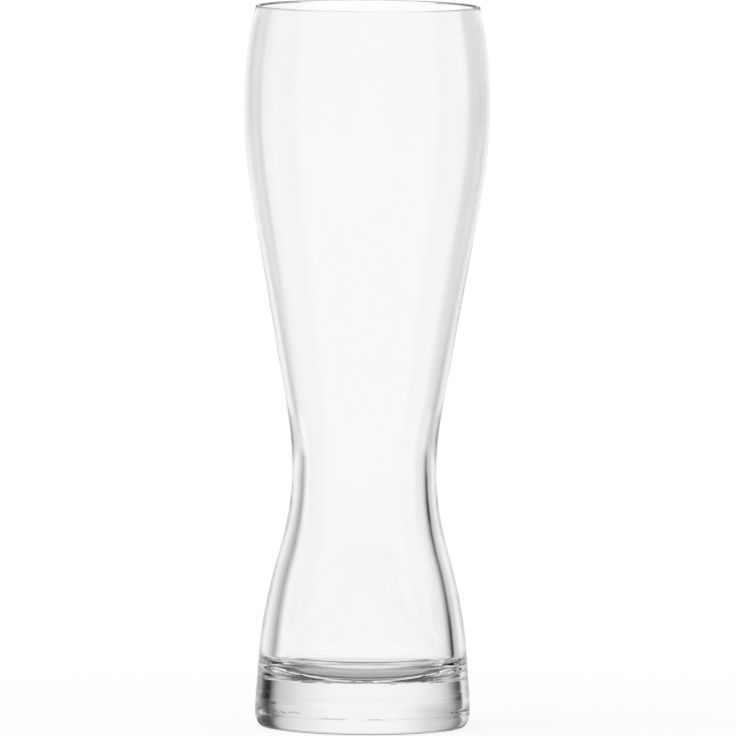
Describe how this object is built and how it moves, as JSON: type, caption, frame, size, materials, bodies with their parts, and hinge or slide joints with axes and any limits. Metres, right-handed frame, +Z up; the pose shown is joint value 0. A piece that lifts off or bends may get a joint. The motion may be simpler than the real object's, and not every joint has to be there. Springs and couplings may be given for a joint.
{
  "type": "wheat beer glass",
  "caption": "Tall clear wheat beer glass: wide belly, narrow waist and lower bulb over a solid heavy base, made to hold a half-litre pour with its head.",
  "frame": {"origin": "centre of the ring the glass stands on, on the table", "axes": "+Z up along the axis of the glass; it is round about Z, so +X and +Y are free"},
  "size_m": [0.0818, 0.0818, 0.24],
  "materials": {
    "bowl_glass": "clear, fire-polished",
    "base_glass": "clear, pressed and fire-polished"
  },
  "bodies": {
    "root": {"bowl": "bowl_glass", "base": "base_glass"}
  },
  "joints": []
}
